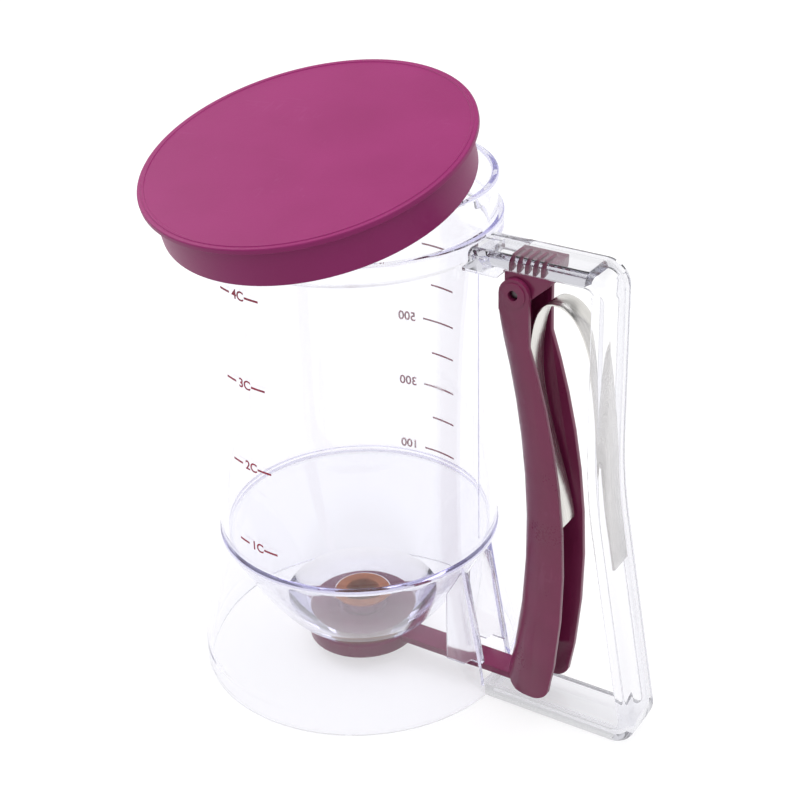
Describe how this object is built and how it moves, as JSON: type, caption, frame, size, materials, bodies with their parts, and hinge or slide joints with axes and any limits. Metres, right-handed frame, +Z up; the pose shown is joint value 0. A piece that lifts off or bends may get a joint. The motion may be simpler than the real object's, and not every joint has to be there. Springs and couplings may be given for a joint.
{
  "type": "batter dispenser",
  "caption": "Hand-held clear batter jug with a channel grip, a sprung trigger that opens a valve disc under the bowl, and a loose lid lying tilted on the rim.",
  "frame": {"origin": "under the middle of the whole object, on the surface that it stands on", "axes": "+Z up, +X from the jug's axis towards the grip, +Y to the left seen from the jug towards the grip"},
  "size_m": [0.1794, 0.131, 0.2183],
  "materials": {
    "clear_plastic": "clear, glossy",
    "lid_plastic": "satin",
    "trigger_plastic": "satin",
    "steel": "bright",
    "silicone": "translucent, soft"
  },
  "bodies": {
    "jug": {"barrel": "clear_plastic", "bowl": "clear_plastic", "base_skirt": "clear_plastic", "arm_guide_left": "clear_plastic", "arm_guide_right": "clear_plastic", "handle_frame": "clear_plastic", "hinge_block": "trigger_plastic", "hinge_pin": "steel", "leaf_spring": "steel", "outlet_seal": "silicone"},
    "trigger": {"trigger": "trigger_plastic"},
    "lid": {"lid": "lid_plastic"}
  },
  "joints": [
    {"name": "trigger_hinge", "type": "hinge", "parent": "jug", "child": "trigger", "pos_m": [0.04099, 0.00613, 0.1629], "axis": [0, -1, 0], "range_deg": [0, 7], "stiffness_Nm_per_rad": 2, "springref_deg": -6.88, "deforming": ["leaf_spring"]},
    {"name": "lid_lift", "type": "slide", "parent": "jug", "child": "lid", "axis": [0, 0, 1], "range_m": [0, 0.06]}
  ]
}
